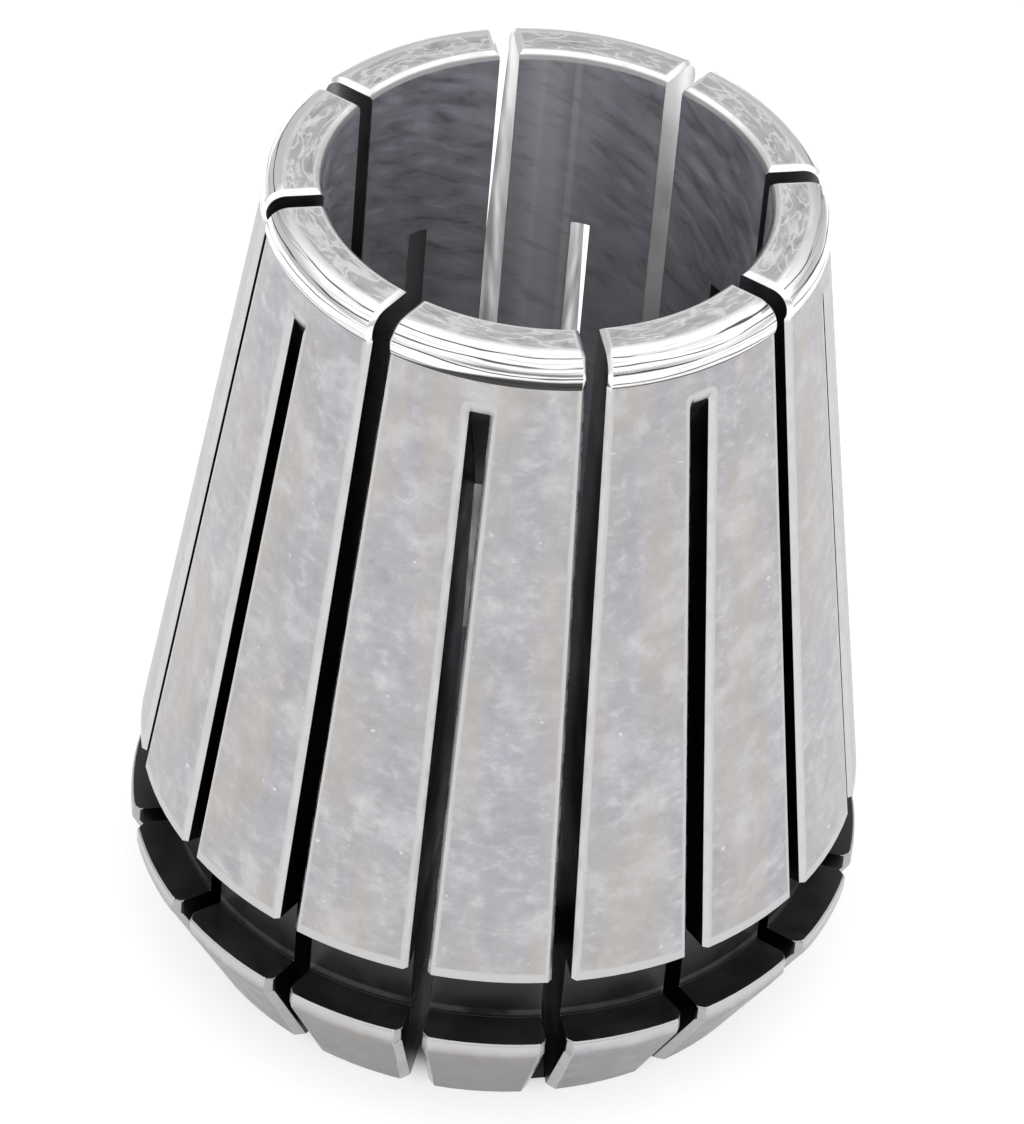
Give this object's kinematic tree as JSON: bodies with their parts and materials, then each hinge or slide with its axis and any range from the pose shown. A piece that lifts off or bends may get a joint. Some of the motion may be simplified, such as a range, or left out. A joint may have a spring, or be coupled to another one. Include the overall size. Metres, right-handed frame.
{
  "type": "spring collet",
  "caption": "Tapered spring steel collet with alternating saw slots, a straight bore, an extraction groove and a coned front flange.",
  "frame": {"origin": "centre of the bore in the plane of the large front face, which rests on the surface", "axes": "+Z along the bore axis, from the front face towards the small rear end; +X through the middle of one slot that is open at the rear"},
  "size_m": [0.033, 0.033, 0.04],
  "materials": {
    "ground_steel": "fine satin grind on the taper, cone and rim; black oxide in the groove, slots and bore"
  },
  "bodies": {
    "root": {"collet": "ground_steel"}
  },
  "joints": []
}
